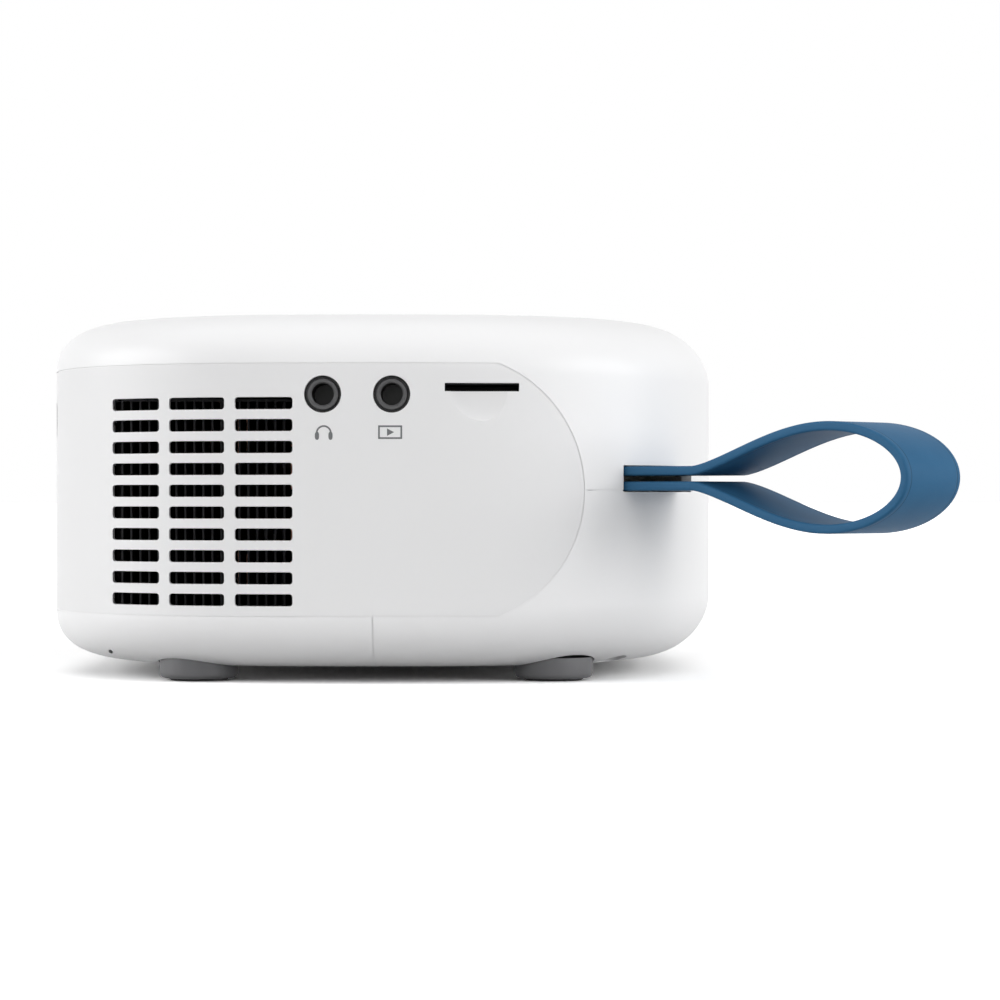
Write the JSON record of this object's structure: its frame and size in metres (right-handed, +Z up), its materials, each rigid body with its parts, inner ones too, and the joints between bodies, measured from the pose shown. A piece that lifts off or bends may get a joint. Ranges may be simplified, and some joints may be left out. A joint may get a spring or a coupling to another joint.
{
  "type": "portable projector",
  "caption": "Pillow-shaped white portable projector with a vented wrap band, side lens with focus ring, rear sockets and a blue hand-strap loop at one corner.",
  "frame": {"origin": "middle of the whole part's box in plan, with the strap, at the plane its feet stand on", "axes": "+Z up; -X the way the lens looks; +X the strap end; -Y the side with the jacks and the card slot"},
  "size_m": [0.1536, 0.166, 0.0615],
  "materials": {
    "shell_white": "fine satin, near white",
    "band_white": "fine matte, light grey-white",
    "button_grey": "satin",
    "foot_grey": "matte dark grey",
    "foot_rubber": "matte",
    "strap_blue": "soft satin blue, like silicone or synthetic leather",
    "jack_black": "smooth black",
    "plain_steel": "plain",
    "turned_brass": "turned",
    "copper": null,
    "fin_aluminium": "plain sheet",
    "black_plastic": "matte black",
    "engine_grey": "matte dark grey",
    "board_green": "solder mask",
    "led_board_white": "white coated metal-core board",
    "lens_glass": "polished",
    "sheet_plastic": "clear moulded sheet",
    "mirror_silver": "front-silvered",
    "led_phosphor": "yellow phosphor",
    "dark_window": "dark infrared-clear plastic"
  },
  "bodies": {
    "housing": {"top_cover": "shell_white", "bottom_shell": "shell_white", "bottom_front_cover": "shell_white", "wrap_band": "band_white", "lens_bezel": "band_white", "ir_window": "dark_window", "lcd_panel": "dark_window", "foot_cup_1": "foot_grey", "foot_cup_2": "foot_grey", "foot_cup_3": "foot_grey", "foot_cup_4": "foot_grey", "foot_pad_1": "foot_rubber", "foot_pad_2": "foot_rubber", "foot_pad_3": "foot_rubber", "foot_pad_4": "foot_rubber", "headphone_jack": "jack_black", "av_jack": "jack_black", "card_socket": "plain_steel", "hdmi_socket": "plain_steel", "usb_socket": "plain_steel", "dc_inlet_nut": "plain_steel", "chassis_tray": "plain_steel", "housing_screw_1": "plain_steel", "housing_screw_2": "plain_steel", "housing_screw_3": "plain_steel", "housing_screw_4": "plain_steel", "board_screw_1": "plain_steel", "board_screw_2": "plain_steel", "board_screw_3": "plain_steel", "board_screw_4": "plain_steel", "main_board": "board_green", "dc_inlet": "black_plastic", "key_switch": "black_plastic", "fan_frame": "black_plastic", "speaker": "black_plastic", "condenser_lens": "lens_glass", "engine_housing": "engine_grey", "engine_cover": "engine_grey", "intake_filter": "engine_grey", "fresnel_in": "sheet_plastic", "fresnel_out": "sheet_plastic", "mirror": "mirror_silver", "led_emitter": "led_phosphor", "led_board": "led_board_white", "led_block": "copper", "heat_pipe_left": "copper", "heat_pipe_right": "copper", "fin_stack": "fin_aluminium", "tripod_insert": "turned_brass"},
    "focus": {"focus_ring": "black_plastic"},
    "lens_group": {"lens_barrel": "black_plastic", "front_lens": "lens_glass", "rear_lens": "lens_glass"},
    "fan": {"fan_rotor": "black_plastic"},
    "button": {"power_button": "button_grey"},
    "strap_loop": {"strap": "strap_blue"}
  },
  "joints": [
    {"name": "focus_turn", "type": "hinge", "parent": "housing", "child": "focus", "pos_m": [-0.07263, 0.03195, 0.0294], "axis": [1, 0, 0], "range_deg": [0, 150]},
    {"name": "lens_slide", "type": "slide", "parent": "housing", "child": "lens_group", "axis": [-1, 0, 0], "range_m": [0, 0.002]},
    {"name": "fan_spin", "type": "hinge", "parent": "housing", "child": "fan", "pos_m": [-0.04383, -0.02305, 0.0294], "axis": [0, 1, 0], "continuous": true},
    {"name": "button_press", "type": "slide", "parent": "housing", "child": "button", "axis": [0, 0, -1], "range_m": [0, 0.0005], "stiffness_N_per_m": 3000},
    {"name": "strap_swivel", "type": "hinge", "parent": "housing", "child": "strap_loop", "pos_m": [0.02262, -0.03445, 0.03365], "axis": [0, 0, 1], "range_deg": [0, 20]}
  ],
  "couplings": [
    {"joint": "focus_turn", "follows": "lens_slide", "rad_per_m": 1309}
  ]
}
